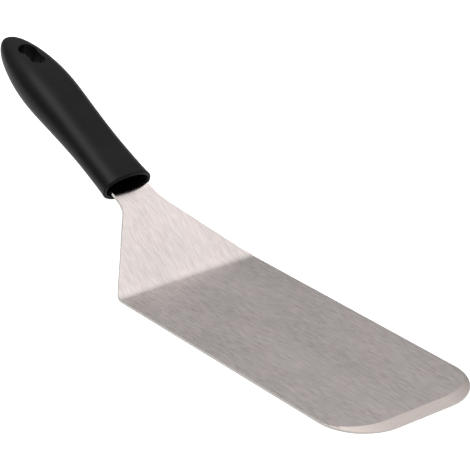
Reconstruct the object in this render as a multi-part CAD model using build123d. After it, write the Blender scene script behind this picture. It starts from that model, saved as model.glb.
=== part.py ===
from build123d import *
import os
from math import cos, exp, pi, radians, sin, sqrt

# Offset spatula for lifting cakes and dough: a cranked stainless sheet in a moulded handle.
# Millimetres. +Z is up, +X points to the blade's tip, and Y runs across the blade.
# The origin is the middle of the blade's flat underside, the face that rests on the bench.

# Sheet: blade, neck and tang are one strip of metal, bent twice.
sheet_thickness = 1.5
blade_width = 85.0
blade_length = 184.0  # from the first bend to the tip
tip_corner_radius = 26.0
bevel_width = 6.8  # ground on the top of the front edge
front_edge_thickness = 0.6
neck_rise = 37.8  # degrees above the blade
neck_length = 45.3  # between the two bends
neck_taper = 0.656  # half-width lost per millimetre of neck
first_bend_radius = 14.0  # to the middle of the sheet
second_bend_radius = 20.0
shoulder_radius = 6.0  # eases the corner where the blade's side meets the neck
tang_width = 23.0
tang_fillet_radius = 20.0  # in the neck's hollow sides
tang_reach = 14.8  # from the second bend to the handle's mouth

# Stem: the end of the tang, narrower, inside the core.
stem_width = 14.0
stem_step = 1.5  # from the core's front face to where the tang steps down to the stem
stem_corner_radius = 2.0
lock_hole_diameter = 6.0
lock_hole_spacing = 34.0
lock_hole_margin = 9.0  # from the last lock hole's centre to the stem's end

# Grip: the outer moulding, an oval that swells to the palm and closes in an ellipse.
handle_rise = 23.3  # degrees above the blade
handle_length = 123.3
oval_power = 2.2  # 2 is an ellipse, more is fuller
grip_wall = 2.2
tang_side_room = 0.2  # between the tang's edges and the grip's hollow, at the waist
mouth_flare = 2.5  # added to the waist's width at the mouth
flare_fade = 11.8
palm_swell = 3.8  # added to the waist's width at the palm
widening_start = 27.5
widening_end = 93.0
front_thickness = 17.0
palm_thickness = 24.3
thickening_start = 15.0
thickening_end = 96.0
closing_length = 54.5
lip_radius = 0.9
mouth_recess = 8.0  # from the mouth's rim to the core's front face

# Hang hole: two round lobes joined by a waist, square through the grip.
hole_end_margin = 14.9  # from the grip's end to the hole
large_lobe_radius = 5.0
small_lobe_radius = 4.3
lobe_spacing = 9.5
hole_waist_width = 7.8
hole_waist_fillet = 1.5
hole_rim_radius = 0.4

# Core: the inner moulding, which fills the grip's hollow and holds the stem.
core_to_hole = 5.0  # solid grip between the core and the hang hole
stem_cover = 7.0  # core beyond the stem's end

# Fineness of the grip's curved skin.
section_points = 24
body_sections = 6
closing_sections = 9
closing_cut = 0.995  # share of the closing ellipse kept, the rest being a small flat

# Widths and places along the handle, from its mouth, that follow from the sizes above.
waist_width = tang_width + 2 * (tang_side_room + grip_wall)
palm_width = waist_width + palm_swell
closing_start = handle_length - closing_length
large_lobe_at = handle_length - hole_end_margin - large_lobe_radius
small_lobe_at = large_lobe_at - lobe_spacing
hole_start = small_lobe_at - small_lobe_radius
hole_end = large_lobe_at + large_lobe_radius
core_end = hole_start - core_to_hole
stem_start = mouth_recess + stem_step
stem_end = core_end - stem_cover
last_lock_hole_at = stem_end - lock_hole_margin
first_lock_hole_at = last_lock_hole_at - lock_hole_spacing
past = 10.0  # how far a cutting tool runs past what it cuts
same_place = 0.01  # distances under this count as none


def towards_handle(rise):
    """Unit vector to the handle's side, at `rise` degrees above the blade."""
    return Vector(-cos(radians(rise)), 0, sin(radians(rise)))


# Points on the middle of the sheet, and a plane that lies in each stretch of it.
tip_middle = Vector(blade_length / 2, 0, sheet_thickness / 2)
first_bend = Vector(-blade_length / 2, 0, sheet_thickness / 2)
second_bend = first_bend + towards_handle(neck_rise) * neck_length
mouth = second_bend + towards_handle(handle_rise) * tang_reach
across = Vector(0, 1, 0)
neck_way = towards_handle(neck_rise)
handle_way = towards_handle(handle_rise)
neck_plane = Plane(origin=first_bend, x_dir=neck_way, z_dir=across.cross(neck_way))
tang_plane = Plane(origin=mouth, x_dir=handle_way, z_dir=across.cross(handle_way))
handle_plane = Plane(origin=mouth, x_dir=across, z_dir=handle_way)


def both_sides(face):
    """A face drawn beside the sheet's middle line, and its mirror image across that line."""
    return face + mirror(face, Plane.XZ)


def bent_strip():
    """The sheet at full width, its end face drawn along the bent middle line."""
    middle_line = FilletPolyline(
        tip_middle,
        first_bend,
        second_bend,
        mouth + handle_way * stem_end,
        radius=[first_bend_radius, second_bend_radius],
    )
    end_plane = Plane(origin=tip_middle, x_dir=across, z_dir=(-1, 0, 0))
    return sweep(end_plane * Rectangle(blade_width, sheet_thickness), path=middle_line)


def neck_waste():
    """What is sheared off beside the neck and the tang, square to the neck."""
    half_blade = blade_width / 2
    half_tang = tang_width / 2
    taper_end = (half_blade - half_tang) / neck_taper
    far = neck_length + tang_reach + handle_length
    outer = half_blade + past
    sheared = FilletPolyline(
        (-past, half_blade),
        (0, half_blade),
        (taper_end, half_tang),
        (far, half_tang),
        radius=[shoulder_radius, tang_fillet_radius],
    )
    outside = Polyline((far, half_tang), (far, outer), (-past, outer), (-past, half_blade))
    waste = make_face([*sheared.edges(), *outside.edges()])
    return extrude(neck_plane * both_sides(waste), amount=handle_length, both=True)


def bevel_waste():
    """What is ground off the front edge, running out where the corners meet the sides."""
    corner_x = blade_length / 2 - tip_corner_radius
    corner_y = blade_width / 2 - tip_corner_radius
    reach = tip_corner_radius - bevel_width
    left = EllipticalCenterArc((corner_x, -corner_y), reach, tip_corner_radius, -90, arc_size=90)
    right = EllipticalCenterArc((corner_x, corner_y), reach, tip_corner_radius, 0, arc_size=90)
    far = blade_length / 2 + past
    outer = blade_width / 2 + past
    corners = [(corner_x, outer), (far, outer), (far, -outer), (corner_x, -outer)]
    outside = Polyline(right @ 1, *corners, left @ 0)
    ground = make_face([*left.edges(), Line(left @ 1, right @ 0), *right.edges(), *outside.edges()])
    slope = (sheet_thickness - front_edge_thickness) / bevel_width
    down_the_bevel = Vector(1, 0, -slope)
    above = Vector(0, 0, sheet_thickness) - down_the_bevel
    travel = 2 * bevel_width * down_the_bevel.length
    return extrude(Pos(*above) * ground, amount=travel, dir=down_the_bevel)


def stem_waste():
    """What is cut off beside the stem, leaving rounded inner corners."""
    middle = (stem_start + stem_end + past) / 2
    length = stem_end + past - stem_start
    side_width = tang_width
    side = Rectangle(length, side_width)
    inner_corner = side.vertices().sort_by(Axis.X)[:2].sort_by(Axis.Y)[0]
    side = Pos(middle, (stem_width + side_width) / 2) * fillet(inner_corner, stem_corner_radius)
    return extrude(tang_plane * both_sides(side), amount=sheet_thickness, both=True)


def lock_holes():
    """Round holes through the stem, which the core fills."""
    hole = Circle(lock_hole_diameter / 2)
    pair = Pos(first_lock_hole_at, 0) * hole + Pos(last_lock_hole_at, 0) * hole
    return extrude(tang_plane * pair, amount=sheet_thickness, both=True)


def make_blade_sheet():
    strip = bent_strip() - neck_waste()
    tip_corners = strip.edges().filter_by(Axis.Z).group_by(Axis.X)[-1]
    blank = fillet(tip_corners, tip_corner_radius)
    return blank - bevel_waste() - stem_waste() - lock_holes()


def eased(place, start, end):
    """0 up to `start` and 1 from `end`, with a smooth rise between."""
    share = min(max((place - start) / (end - start), 0), 1)
    return share * share * (3 - 2 * share)


def closing(place):
    """1 along the body, then a quarter ellipse down to 0 at the grip's end."""
    share = max(place - closing_start, 0) / closing_length
    return sqrt(1 - share * share)


def grip_half_width(place):
    flare = mouth_flare * exp(-place / flare_fade)
    swell = (palm_width - waist_width) * eased(place, widening_start, widening_end)
    return (waist_width + flare + swell) / 2 * closing(place)


def grip_half_thickness(place):
    swell = (palm_thickness - front_thickness) * eased(place, thickening_start, thickening_end)
    return (front_thickness + swell) / 2 * closing(place)


def fuller(value):
    """A sine or cosine drawn out, so that the oval is fuller than an ellipse."""
    size = abs(value) ** (2 / oval_power)
    return size if value > 0 else -size


def grip_section(place, inset=0.0):
    """The oval at `place` along the handle, `inset` inside the grip's skin."""
    half_width = grip_half_width(place) - inset
    half_thickness = grip_half_thickness(place) - inset
    turns = [2 * pi * step / section_points for step in range(section_points)]
    points = [(half_width * fuller(cos(turn)), half_thickness * fuller(sin(turn))) for turn in turns]
    return handle_plane.offset(place) * make_face(Spline(*points, periodic=True))


def grip_body():
    """The grip's outer shape, its sections closing up towards the end as on a circle."""
    places = [closing_start * step / body_sections for step in range(body_sections)]
    quarter = pi / 2 / (closing_sections + 1)
    for step in range(closing_sections + 1):
        share = sin(quarter * step) / sin(quarter * closing_sections) * closing_cut
        places.append(closing_start + closing_length * share)
    return loft([grip_section(place) for place in places])


def grip_hollow():
    """The space inside the grip's wall, from the mouth to the core's end."""
    places = [core_end * step / body_sections for step in range(body_sections + 1)]
    return loft([grip_section(place, grip_wall) for place in places])


def hang_hole():
    lobes = Pos(large_lobe_at, 0) * Circle(large_lobe_radius)
    lobes += Pos(small_lobe_at, 0) * Circle(small_lobe_radius)
    waist_at = (large_lobe_at + small_lobe_at) / 2
    outline = lobes + Pos(waist_at, 0) * Rectangle(lobe_spacing, hole_waist_width)
    waist_corners = outline.vertices().filter_by(lambda corner: abs(corner.Y) > hole_waist_width / 3)
    outline = fillet(waist_corners, hole_waist_fillet)
    return extrude(tang_plane * outline, amount=palm_thickness, both=True)


def is_hole_rim(edge):
    """True for the hang hole's edges in the grip's skin, above and below."""
    middle = tang_plane.to_local_coords(edge.center())
    beside = abs(middle.Y) < large_lobe_radius + 1 and abs(middle.Z) > large_lobe_radius
    return beside and hole_start - 1 < middle.X < hole_end + 1


def is_at_mouth(face):
    return abs((face.center() - mouth).dot(handle_way)) < same_place


def make_handle_grip():
    shell = grip_body() - grip_hollow()
    lip = shell.faces().filter_by(is_at_mouth)
    shell = fillet(lip.edges(), min(lip_radius, grip_wall * 0.45))
    pierced = shell - hang_hole()
    return fillet(pierced.edges().filter_by(is_hole_rim), hole_rim_radius)


def make_handle_core(sheet):
    """The hollow behind the recess, moulded round the stem and through its lock holes."""
    block = Rectangle(2 * palm_width, 2 * palm_width)
    behind_recess = extrude(handle_plane.offset(mouth_recess) * block, amount=handle_length)
    return (grip_hollow() & behind_recess) - sheet


def main():
    os.makedirs("parts", exist_ok=True)
    sheet = make_blade_sheet()
    nodes = {
        "blade_sheet": sheet,
        "handle_core": make_handle_core(sheet),
        "handle_grip": make_handle_grip(),
    }
    for name, shape in nodes.items():
        shape.label = name
        export_step(shape, f"parts/{name}.step")


main()
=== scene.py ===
from math import atan2, cos, pi, radians, sin, tan

import bmesh
import bpy
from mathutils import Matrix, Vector


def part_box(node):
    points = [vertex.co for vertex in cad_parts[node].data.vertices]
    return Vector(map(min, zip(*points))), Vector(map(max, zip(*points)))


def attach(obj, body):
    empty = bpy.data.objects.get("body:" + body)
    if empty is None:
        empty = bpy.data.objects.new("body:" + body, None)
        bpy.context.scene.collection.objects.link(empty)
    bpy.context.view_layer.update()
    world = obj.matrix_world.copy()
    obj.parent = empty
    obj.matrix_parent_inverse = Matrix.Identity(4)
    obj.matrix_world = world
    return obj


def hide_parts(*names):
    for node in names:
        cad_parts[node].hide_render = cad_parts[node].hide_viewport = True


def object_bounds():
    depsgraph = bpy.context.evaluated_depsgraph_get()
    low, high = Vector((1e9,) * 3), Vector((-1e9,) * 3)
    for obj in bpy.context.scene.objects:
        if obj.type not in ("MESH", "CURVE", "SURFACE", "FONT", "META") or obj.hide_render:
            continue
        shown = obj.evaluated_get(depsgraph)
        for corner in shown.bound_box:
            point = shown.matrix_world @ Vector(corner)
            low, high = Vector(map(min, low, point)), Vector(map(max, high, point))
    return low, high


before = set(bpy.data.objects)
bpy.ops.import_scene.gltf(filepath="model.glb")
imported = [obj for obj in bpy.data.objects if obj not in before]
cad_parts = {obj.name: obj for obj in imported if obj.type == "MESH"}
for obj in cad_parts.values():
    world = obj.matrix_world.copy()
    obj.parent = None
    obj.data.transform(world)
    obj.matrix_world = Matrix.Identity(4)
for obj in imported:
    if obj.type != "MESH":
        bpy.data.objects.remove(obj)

cad_low, cad_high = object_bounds()

# Metres and radians. +X points to the blade's tip, Y runs across the blade and +Z is up.
# The origin is the middle of the blade's flat underside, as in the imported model.


# ---- Camera ----
# A long lens a little above the bench, on the tip's side of the object, that looks along the
# blade towards the handle.

camera_azimuth = radians(52.09)
camera_elevation = radians(24.958)
camera_distance = 1.1740
camera_sideways = 0.0193
camera_upwards = -0.0134
camera_sensor = 36.0
camera_lens = 178.77

towards_camera = Vector((
    sin(camera_azimuth) * cos(camera_elevation),
    -cos(camera_azimuth) * cos(camera_elevation),
    sin(camera_elevation),
))
camera_right = Vector((cos(camera_azimuth), sin(camera_azimuth), 0))
camera_up = towards_camera.cross(camera_right)
object_middle = (cad_low + cad_high) / 2

camera_data = bpy.data.cameras.new("camera")
camera_data.sensor_width = camera_sensor
camera_data.lens = camera_lens
camera = bpy.data.objects.new("camera", camera_data)
camera.location = (
    object_middle
    + towards_camera * camera_distance
    + camera_right * camera_sideways
    + camera_up * camera_upwards
)
camera.rotation_mode = "QUATERNION"
camera.rotation_quaternion = towards_camera.to_track_quat("Z", "Y")
bpy.context.scene.collection.objects.link(camera)
bpy.context.scene.camera = camera
bpy.context.scene.view_settings.view_transform = "Standard"


# ---- Blade, neck and tang ----
# One strip of brushed stainless steel. It is blanked flat with its lock holes, its edges are
# broken, its front edge is ground to a bevel, and then it is bent twice in a press.

sheet_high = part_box("blade_sheet")[1]
tip_at = sheet_high.x
half_blade = sheet_high.y
sheet_thickness = 0.0015
tip_corner_radius = 0.026
bevel_width = 0.0068
front_edge_thickness = 0.0006
broken_edge = 0.0002

first_bend_at = -tip_at
first_bend_radius = 0.014
neck_rise = radians(37.8)
neck_length = 0.0453
neck_taper = 0.656
shoulder_radius = 0.006
second_bend_radius = 0.020
handle_rise = radians(23.3)
tang_reach = 0.0148
half_tang = 0.0115
tang_fillet_radius = 0.020
half_stem = 0.007
stem_start = 0.0095
stem_end = 0.0776
stem_corner_radius = 0.002
lock_hole_radius = 0.003
lock_hole_places = (0.0346, 0.0686)

# Lengths on the flat blank: a bend takes its arc's length out of the corner's two sides.
first_bend_setback = first_bend_radius * tan(neck_rise / 2)
first_bend_arc = first_bend_radius * neck_rise
second_bend_turn = neck_rise - handle_rise
second_bend_setback = second_bend_radius * tan(second_bend_turn / 2)
second_bend_arc = second_bend_radius * second_bend_turn
straight_neck = neck_length - first_bend_setback - second_bend_setback
bending_starts = first_bend_at + first_bend_setback
flat_shoulder = bending_starts - first_bend_arc + first_bend_setback
second_bending_starts = bending_starts - first_bend_arc - straight_neck
flat_mouth = second_bending_starts - second_bend_arc + second_bend_setback - tang_reach


def rounded(corners, step=radians(4), shortest=0.0004):
    """The points of a line through corners given as (x, y, radius), its corners rounded.

    A corner's points are a step apart, or the shortest length apart where that is more.
    """
    points = []
    for index, (x, y, radius) in enumerate(corners):
        corner = Vector((x, y))
        if not radius:
            points.append(corner)
            continue
        before = (Vector(corners[index - 1][:2]) - corner).normalized()
        after = (Vector(corners[index + 1][:2]) - corner).normalized()
        half_angle = before.angle(after) / 2
        centre = corner + (before + after).normalized() * (radius / sin(half_angle))
        start = corner + before * (radius / tan(half_angle)) - centre
        turn = start.angle_signed(corner + after * (radius / tan(half_angle)) - centre)
        steps = max(int(abs(turn) * min(1 / step, radius / shortest)), 2)
        for number in range(steps + 1):
            angle = atan2(start.y, start.x) - turn * number / steps
            points.append(centre + Vector((cos(angle), sin(angle))) * radius)
    return points


def plate(outline, thickness):
    """A closed plate on an outline."""
    solid = bmesh.new()
    base = solid.faces.new([solid.verts.new((x, y, 0)) for x, y in outline])
    raised = bmesh.ops.extrude_face_region(solid, geom=[base])["geom"]
    top = [part for part in raised if isinstance(part, bmesh.types.BMVert)]
    bmesh.ops.translate(solid, verts=top, vec=(0, 0, thickness))
    bmesh.ops.recalc_face_normals(solid, faces=solid.faces)
    return solid


def as_object(name, solid):
    """Puts a solid that is being made into the scene."""
    mesh = bpy.data.meshes.new(name)
    solid.to_mesh(mesh)
    solid.free()
    made = bpy.data.objects.new(name, mesh)
    bpy.context.scene.collection.objects.link(made)
    return made


def plain_mesh(made, name):
    """Takes an object's finished mesh, modifiers and all, into a new object without them."""
    seen = made.evaluated_get(bpy.context.evaluated_depsgraph_get())
    mesh = bpy.data.meshes.new_from_object(seen)
    mesh.name = name
    bpy.data.objects.remove(made)
    finished = bpy.data.objects.new(name, mesh)
    bpy.context.scene.collection.objects.link(finished)
    return finished


taper_end = flat_shoulder - (half_blade - half_tang) / neck_taper
left_side = rounded([
    (tip_at, 0, 0),
    (tip_at, half_blade, tip_corner_radius),
    (flat_shoulder, half_blade, shoulder_radius),
    (taper_end, half_tang, tang_fillet_radius),
    (flat_mouth - stem_start, half_tang, 0),
    (flat_mouth - stem_start, half_stem, stem_corner_radius),
    (flat_mouth - stem_end, half_stem, 0),
])[1:]
right_side = [Vector((point.x, -point.y)) for point in reversed(left_side)]
blank = as_object("blank", plate(left_side + right_side, sheet_thickness))

# The grinding wheel's cut: a slope that starts on a straight line with elliptical ends.
bevel_slope = (sheet_thickness - front_edge_thickness) / bevel_width
straight_front = half_blade - tip_corner_radius
points_in_end = 30
left_end = []
for number in range(points_in_end + 1):
    sweep = number / points_in_end * pi / 2
    left_end.append((
        tip_at - tip_corner_radius + (tip_corner_radius - bevel_width) * cos(sweep),
        straight_front + tip_corner_radius * sin(sweep),
    ))
run_off = 0.005
left_end.append((left_end[-1][0], half_blade + run_off))
grinding_line = [(x, -y) for x, y in reversed(left_end)] + left_end

wheel = bmesh.new()
lead_in = 0.0005
cut_length = 3 * bevel_width + tip_corner_radius
rows = []
for start, height in (
    (-lead_in, sheet_thickness + bevel_slope * lead_in),
    (cut_length, sheet_thickness - bevel_slope * cut_length),
    (cut_length, sheet_thickness + run_off),
    (-lead_in, sheet_thickness + run_off),
):
    rows.append([wheel.verts.new((x + start, y, height)) for x, y in grinding_line])
for row, after in zip(rows, rows[1:] + rows[:1]):
    for index in range(len(grinding_line) - 1):
        wheel.faces.new((row[index], row[index + 1], after[index + 1], after[index]))
wheel.faces.new([row[0] for row in rows])
wheel.faces.new([row[-1] for row in reversed(rows)])
bmesh.ops.recalc_face_normals(wheel, faces=wheel.faces)
wheel = as_object("wheel", wheel)

punches = bmesh.new()
punch_sides = 40
punch_length = 4 * sheet_thickness
for lock_hole in lock_hole_places:
    punch = bmesh.ops.create_cone(
        punches, cap_ends=True, segments=punch_sides,
        radius1=lock_hole_radius, radius2=lock_hole_radius, depth=punch_length,
    )
    bmesh.ops.translate(punches, verts=punch["verts"], vec=(flat_mouth - lock_hole, 0, 0))
punches = as_object("punches", punches)

punching = blank.modifiers.new("punching", "BOOLEAN")
breaking = blank.modifiers.new("breaking the edges", "BEVEL")
breaking.width = broken_edge
breaking.segments = 2
breaking.use_clamp_overlap = False
breaking.limit_method = "ANGLE"
breaking.angle_limit = radians(40)
grinding = blank.modifiers.new("grinding", "BOOLEAN")
for cutting, cutter in ((punching, punches), (grinding, wheel)):
    cutting.operation = "DIFFERENCE"
    cutting.solver = "EXACT"
    cutting.object = cutter
blank = plain_mesh(blank, "blank")
bpy.data.objects.remove(punches)
bpy.data.objects.remove(wheel)

# The ground face's borders stay crisp, and lines across the blank where it bends let the bends
# come out round.
sliver = broken_edge / 15
shallow_corner = radians(4), radians(12)
square_corner = radians(50)
facing_up = 0.9
lines_in_bend = 16
blank.data.shade_smooth()
strip = bmesh.new()
strip.from_mesh(blank.data)
bmesh.ops.remove_doubles(strip, verts=strip.verts, dist=sliver)
for edge in strip.edges:
    corner_turn = edge.calc_face_angle()
    is_on_top = all(face.normal.z > facing_up for face in edge.link_faces)
    is_shallow = shallow_corner[0] < corner_turn < shallow_corner[1]
    if corner_turn > square_corner or is_on_top and is_shallow:
        edge.smooth = False
for bend_start, bend_arc in (
    (bending_starts, first_bend_arc),
    (second_bending_starts, second_bend_arc),
):
    for line in range(lines_in_bend + 1):
        bmesh.ops.bisect_plane(
            strip,
            geom=strip.verts[:] + strip.edges[:] + strip.faces[:],
            plane_co=(bend_start - bend_arc * line / lines_in_bend, 0, 0),
            plane_no=(1, 0, 0),
            dist=1e-6,
        )
strip.to_mesh(blank.data)
strip.free()


class Value:
    """What comes out of a node, for use in sums as if it were a number."""

    def __init__(self, nodes, socket):
        self.nodes = nodes
        self.socket = socket

    def maths(self, operation, *values):
        settings = {"operation": operation}
        return self.nodes.add("ShaderNodeMath", settings, dict(enumerate(values)))

    def __add__(self, other):
        return self.maths("ADD", self, other)

    def __radd__(self, other):
        return self.maths("ADD", other, self)

    def __sub__(self, other):
        return self.maths("SUBTRACT", self, other)

    def __rsub__(self, other):
        return self.maths("SUBTRACT", other, self)

    def __mul__(self, other):
        return self.maths("MULTIPLY", self, other)

    def __rmul__(self, other):
        return self.maths("MULTIPLY", other, self)

    def __truediv__(self, other):
        return self.maths("DIVIDE", self, other)

    def __rtruediv__(self, other):
        return self.maths("DIVIDE", other, self)

    def __abs__(self):
        return self.maths("ABSOLUTE", self)

    def sine(self):
        return self.maths("SINE", self)

    def cosine(self):
        return self.maths("COSINE", self)

    def between(self, low, high):
        """The value, kept between two others."""
        return self.maths("MINIMUM", self.maths("MAXIMUM", self, low), high)

    def is_below(self, limit):
        return self.maths("LESS_THAN", self, limit)

    def is_near(self, other, tolerance):
        return self.maths("COMPARE", self, other, tolerance)


class Nodes:
    """A node tree that is being made."""

    def __init__(self, tree):
        self.tree = tree

    def add(self, kind, settings=None, values=None, output=0):
        """A node, made from its settings and its sockets' values or links."""
        node = self.tree.nodes.new(kind)
        for name, setting in (settings or {}).items():
            setattr(node, name, setting)
        for name, value in (values or {}).items():
            if isinstance(value, Value):
                self.tree.links.new(value.socket, node.inputs[name])
            else:
                node.inputs[name].default_value = value
        return Value(self, node.outputs[output])

    def ramp(self, value, stops):
        """A value turned into a colour by stops given as (place, colour)."""
        made = self.add("ShaderNodeValToRGB", None, {"Fac": value})
        elements = made.socket.node.color_ramp.elements
        elements.remove(elements[1])
        elements[0].position, elements[0].color = stops[0]
        for place, colour in stops[1:]:
            elements.new(place).color = colour
        return made


class Shape(Nodes):
    """A Geometry Nodes tree with named sizes, run on one object."""

    def __init__(self, name, sizes):
        super().__init__(bpy.data.node_groups.new(name, "GeometryNodeTree"))
        self.sizes = sizes
        panel = self.tree.interface
        panel.new_socket("Geometry", in_out="INPUT", socket_type="NodeSocketGeometry")
        panel.new_socket("Geometry", in_out="OUTPUT", socket_type="NodeSocketGeometry")
        self.sockets = {}
        for size in sizes:
            made = panel.new_socket(size, in_out="INPUT", socket_type="NodeSocketFloat")
            self.sockets[size] = made.identifier
        self.inputs = self.tree.nodes.new("NodeGroupInput")

    def given(self, name):
        """One of the tree's named sizes."""
        return Value(self, self.inputs.outputs[name])

    def finish(self, geometry, material):
        """Ends the tree with the piece's material on plain geometry."""
        real = self.add("GeometryNodeRealizeInstances", None, {0: geometry})
        finished = self.add("GeometryNodeSetMaterial", None, {0: real, "Material": material})
        self.tree.links.new(finished.socket, self.tree.nodes.new("NodeGroupOutput").inputs[0])

    def put_on(self, made):
        """Runs the tree on an object with its sizes."""
        run = made.modifiers.new(self.tree.name, "NODES")
        run.node_group = self.tree
        for name, value in self.sizes.items():
            run[self.sockets[name]] = value


class Finish(Nodes):
    """A material that is being made round its one shader."""

    def __init__(self, name, values):
        self.material = bpy.data.materials.new(name)
        self.material.use_nodes = True
        super().__init__(self.material.node_tree)
        self.shader = self.tree.nodes["Principled BSDF"]
        for socket, value in values.items():
            self.shader.inputs[socket].default_value = value

    def feed(self, socket, value):
        """Lets a value or a colour drive one of the shader's sockets."""
        self.tree.links.new(value.socket, self.shader.inputs[socket])

    def noise(self, place, scale, detail=2.0, roughness=0.5):
        """Smooth noise between 0 and 1, mostly near a half."""
        values = {"Vector": place, "Scale": scale, "Detail": detail, "Roughness": roughness}
        return self.add("ShaderNodeTexNoise", None, values)

    def stretched(self, place, scale):
        """A place with each of its axes scaled."""
        settings = {"operation": "MULTIPLY"}
        return self.add("ShaderNodeVectorMath", settings, {0: place, 1: scale})

    def mix(self, share, first, second):
        """One colour turning into another."""
        settings = {"data_type": "RGBA"}
        return self.add("ShaderNodeMix", settings, {0: share, 6: first, 7: second}, output=2)

    def bump(self, height, distance, strength):
        """A surface that stands up by a distance where the height is 1."""
        values = {"Height": height, "Distance": distance, "Strength": strength}
        return self.add("ShaderNodeBump", None, values)


# Brushed steel: short scratches that run along the strip, broad cloudy bands of them, a
# rougher sheared edge whose colour is darkened as painted shade, finer marks along the ground
# front edge, and a brighter strip by the handle's mouth that the brushing belt doesn't reach.
bright_strip = 0.003
bright_strip_fade = 0.004
scratch_depth = 0.00002
steel = Finish("brushed steel", {"Metallic": 1.0})
flat_place = steel.add("ShaderNodeAttribute", {"attribute_name": "flat"}, output=1)
along_strip = steel.add("ShaderNodeSeparateXYZ", None, {0: flat_place})
sheared_and_shaded_edge = steel.add("ShaderNodeAttribute", {"attribute_name": "sheared_and_shaded_edge"}, output=2)
ground = steel.add("ShaderNodeAttribute", {"attribute_name": "ground"}, output=2)
short_scratches = steel.noise(steel.stretched(flat_place, (170, 850, 850)), 1.0)
long_scratches = steel.noise(steel.stretched(flat_place, (40, 2400, 2400)), 1.0)
clouds = steel.noise(steel.stretched(flat_place, (14, 40, 40)), 1.0, 3.0)
tint = steel.noise(steel.stretched(flat_place, (45, 60, 60)), 1.0)
scratches = short_scratches * 0.7 + long_scratches * 0.3
grinding_marks = steel.noise(steel.stretched(flat_place, (4200, 140, 140)), 1.0, 2.0, 0.6)
marks = scratches + ground * (grinding_marks - scratches)
by_mouth = 1 - ((along_strip - flat_mouth - bright_strip) / bright_strip_fade).between(0, 1)
colour = steel.ramp(marks * 0.7 + clouds * 0.3, [
    (0.30, (0.510, 0.459, 0.446, 1)),
    (0.50, (0.645, 0.580, 0.564, 1)),
    (0.70, (0.780, 0.702, 0.682, 1)),
])
colour = steel.mix((tint - 0.42) * 1.4, colour, (0.600, 0.575, 0.545, 1))
colour = steel.mix(ground * 0.6, colour, (0.66, 0.575, 0.535, 1))
# Painted shade: the sheared edge faces are darkened to a dark grey, on top of their rougher
# finish.
colour = steel.mix(sheared_and_shaded_edge * 0.8, colour, (0.29, 0.28, 0.265, 1))
steel.feed("Base Color", colour)
roughness = 0.21 + marks * 0.10 + clouds * 0.05 + sheared_and_shaded_edge * 0.18 - ground * 0.03
steel.feed("Roughness", roughness * (1 - by_mouth * 0.75))
steel.feed("Normal", steel.bump(marks, scratch_depth, 0.10))

# The press: a point on the flat blank turns round the first bend, goes up the straight neck,
# turns back round the second bend and goes up the tang. The sheet's middle keeps its length.
bend = Shape("press brake", {
    "First Bend Start": bending_starts,
    "First Bend Radius": first_bend_radius,
    "Neck Rise": neck_rise,
    "Straight Neck": straight_neck,
    "Second Bend Radius": second_bend_radius,
    "Handle Rise": handle_rise,
    "Sheet Thickness": sheet_thickness,
})
blank_place = bend.add("GeometryNodeInputPosition")
blank_x, blank_y, blank_z = (
    bend.add("ShaderNodeSeparateXYZ", None, {0: blank_place}, output=axis) for axis in range(3)
)
first_radius, second_radius = bend.given("First Bend Radius"), bend.given("Second Bend Radius")
rise, end_rise = bend.given("Neck Rise"), bend.given("Handle Rise")
past_start = (bend.given("First Bend Start") - blank_x).between(0, 1)
first_turned = (past_start / first_radius).between(0, rise)
past_first = (past_start - rise * first_radius).between(0, 1)
along_neck = past_first.between(0, bend.given("Straight Neck"))
past_neck = (past_first - bend.given("Straight Neck")).between(0, 1)
second_turned = (past_neck / second_radius).between(0, rise - end_rise)
along_tang = (past_neck - (rise - end_rise) * second_radius).between(0, 1)
facing = first_turned - second_turned
back = first_turned.sine() * first_radius + rise.cosine() * along_neck
back = back + second_radius * (rise.sine() - (rise - second_turned).sine())
back = back + end_rise.cosine() * along_tang
raised = (1 - first_turned.cosine()) * first_radius + rise.sine() * along_neck
raised = raised + second_radius * ((rise - second_turned).cosine() - rise.cosine())
raised = raised + end_rise.sine() * along_tang
off_middle = blank_z - bend.given("Sheet Thickness") / 2
bent_x = blank_x + past_start - back + facing.sine() * off_middle
bent_z = bend.given("Sheet Thickness") / 2 + raised + facing.cosine() * off_middle
bent_place = bend.add("ShaderNodeCombineXYZ", None, {0: bent_x, 1: blank_y, 2: bent_z})

# The finish needs the place on the flat blank, the cut edges, which it roughens and darkens
# with painted shade, and the ground face.
sheared_below = 0.95
tilt_tolerance = 0.02
kept_flat = bend.add(
    "GeometryNodeStoreNamedAttribute",
    {"data_type": "FLOAT_VECTOR", "domain": "POINT"},
    {0: Value(bend, bend.inputs.outputs[0]), "Name": "flat", "Value": blank_place},
)
face_way = bend.add("GeometryNodeInputNormal")
face_up = abs(bend.add("ShaderNodeSeparateXYZ", None, {0: face_way}, output=2))
is_sheared_and_shaded = face_up.is_below(sheared_below)
kept_edges = bend.add(
    "GeometryNodeStoreNamedAttribute",
    {"data_type": "FLOAT", "domain": "FACE"},
    {0: kept_flat, "Name": "sheared_and_shaded_edge", "Value": is_sheared_and_shaded},
)
face_forward = bend.add("ShaderNodeSeparateXYZ", None, {0: face_way}, output=0)
ground_tilt = sin(atan2(bevel_slope, 1))
is_ground = face_forward.is_near(ground_tilt, tilt_tolerance) * (1 - is_sheared_and_shaded)
kept_ground = bend.add(
    "GeometryNodeStoreNamedAttribute",
    {"data_type": "FLOAT", "domain": "FACE"},
    {0: kept_edges, "Name": "ground", "Value": is_ground},
)
bent = bend.add("GeometryNodeSetPosition", None, {0: kept_ground, "Position": bent_place})
bend.finish(bent, steel.material)
bend.put_on(blank)
even_shading = blank.modifiers.new("even shading", "WEIGHTED_NORMAL")
even_shading.mode = "FACE_AREA"
even_shading.weight = 80
even_shading.keep_sharp = True
blade = plain_mesh(blank, "blade")
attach(blade, "root")
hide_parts("blade_sheet")


# ---- Core ----
# The inner moulding, black polypropylene shot round the stem and through its lock holes. Only
# its front face shows, at the bottom of the recess in the handle's mouth.

core_grain_depth = 0.00004

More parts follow.
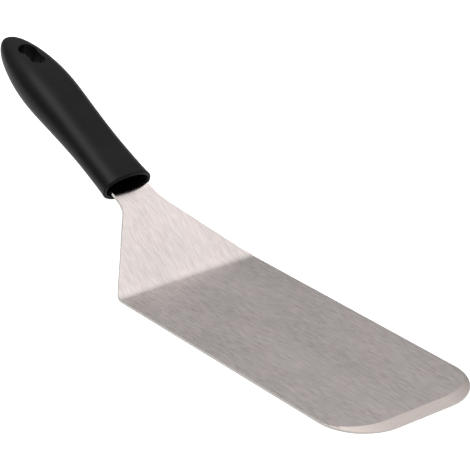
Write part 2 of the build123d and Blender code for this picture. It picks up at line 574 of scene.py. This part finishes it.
core_plastic = Finish("core plastic", {"IOR": 1.49, "Specular IOR Level": 0.14})
core_place = core_plastic.add("ShaderNodeTexCoord", output=3)
core_flow = core_plastic.noise(core_plastic.stretched(core_place, (250, 90, 250)), 1.0, 3.0)
core_grain = core_plastic.noise(core_place, 2600)
core_plastic.feed("Base Color", core_plastic.ramp(core_flow, [
    (0.35, (0.003, 0.003, 0.003, 1)),
    (0.65, (0.006, 0.006, 0.006, 1)),
]))
core_plastic.feed("Roughness", 0.48 + core_grain * 0.2)
core_plastic.feed("Normal", core_plastic.bump(core_grain, core_grain_depth, 0.5))

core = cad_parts["handle_core"]
core.data.materials.clear()
core.data.materials.append(core_plastic.material)


# ---- Grip ----
# The outer moulding, black polypropylene with a fine spark-eroded skin. It is an oval that
# swells into the palm, closes in a round end, and has a figure-of-eight hole to hang it by.

skin_depth = 0.00005
parting_line_width = 0.00015
parting_line_height = 1.5

grip_plastic = Finish("grip plastic", {"IOR": 1.49, "Specular IOR Level": 0.10})
grip_place = grip_plastic.add("ShaderNodeTexCoord", output=3)
pimples = grip_plastic.noise(grip_place, 1900)
rubbed = grip_plastic.noise(grip_place, 55, 4.0, 0.6)
grip_plastic.feed("Base Color", grip_plastic.ramp(rubbed, [
    (0.35, (0.0035, 0.0035, 0.0035, 1)),
    (0.65, (0.0060, 0.0060, 0.0062, 1)),
]))

# The mould parts on the plane through the handle's middle, which rises with it.
grip_x = grip_plastic.add("ShaderNodeSeparateXYZ", None, {0: grip_place}, output=0)
grip_z = grip_plastic.add("ShaderNodeSeparateXYZ", None, {0: grip_place}, output=2)
mouth_x = first_bend_at - neck_length * cos(neck_rise) - tang_reach * cos(handle_rise)
mouth_z = sheet_thickness / 2 + neck_length * sin(neck_rise) + tang_reach * sin(handle_rise)
off_split = abs(
    (grip_x - mouth_x) * sin(handle_rise) + (grip_z - mouth_z) * cos(handle_rise)
)
parting_line = 1 - (off_split / parting_line_width).between(0, 1)
skin = pimples * 0.6 + parting_line * parting_line_height
grip_plastic.feed("Roughness", 0.31 + pimples * 0.10 + rubbed * 0.10)
grip_plastic.feed("Normal", grip_plastic.bump(skin, skin_depth, 0.5))

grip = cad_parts["handle_grip"]
grip.data.materials.clear()
grip.data.materials.append(grip_plastic.material)


# ---- Bench ----
# A plain white board, larger than the view. It glows a little, so that it stays as white as the
# tent round it.

bench_half_size = 4.0
bench_gap = 0.0002

bench_finish = Finish("bench", {
    "Roughness": 0.9,
    "Specular IOR Level": 0.1,
    "Emission Color": (1, 1, 1, 1),
    "Emission Strength": 0.45,
})
bench_place = bench_finish.add("ShaderNodeTexCoord", output=3)
bench_tone = bench_finish.noise(bench_place, 3.0)
bench_finish.feed("Base Color", bench_finish.ramp(bench_tone, [
    (0.3, (0.90, 0.90, 0.90, 1)),
    (0.7, (0.92, 0.92, 0.92, 1)),
]))
bench_mesh = bmesh.new()
bmesh.ops.create_grid(bench_mesh, x_segments=1, y_segments=1, size=bench_half_size)
bmesh.ops.translate(bench_mesh, verts=bench_mesh.verts, vec=(0, 0, cad_low.z - bench_gap))
bench = as_object("bench", bench_mesh)
bench.data.materials.append(bench_finish.material)


# ---- Light ----
# A white tent of even light, bright overhead and dimmer towards the bench, and one soft lamp
# above the camera's side that draws the sheen along the grip.

tent_brightness = [
    (0.0, 0.32), (0.30, 0.34), (0.42, 0.38), (0.53, 0.54), (0.66, 0.88), (0.80, 1.30), (1.0, 1.2),
]
tent_top = max(glow for height, glow in tent_brightness)
tent = bpy.data.worlds.new("tent")
tent.use_nodes = True
tent_nodes = Nodes(tent.node_tree)
tent_way = tent_nodes.add("ShaderNodeTexCoord", output=0)
tent_height = tent_nodes.add("ShaderNodeSeparateXYZ", None, {0: tent_way}, output=2)
tent_shade = tent_nodes.ramp(tent_height, [
    (height, (glow / tent_top,) * 3 + (1,)) for height, glow in tent_brightness
])
tent_light = tent.node_tree.nodes["Background"].inputs
tent.node_tree.links.new(tent_shade.socket, tent_light["Color"])
tent_light["Strength"].default_value = tent_top
bpy.context.scene.world = tent

lamp_way = Vector((-0.13, -0.31, 0.91)).normalized()
lamp_distance = 3.0
lamp_spread = radians(15)
lamp_radiance = 7.4
lamp_radius = lamp_distance * tan(lamp_spread)
lamp_data = bpy.data.lights.new("soft lamp", "AREA")
lamp_data.shape = "DISK"
lamp_data.size = 2 * lamp_radius
lamp_data.energy = lamp_radiance * pi * pi * lamp_radius**2
lamp = bpy.data.objects.new("soft lamp", lamp_data)
lamp.location = object_middle + lamp_way * lamp_distance
lamp.rotation_mode = "QUATERNION"
lamp.rotation_quaternion = lamp_way.to_track_quat("Z", "Y")
bpy.context.scene.collection.objects.link(lamp)
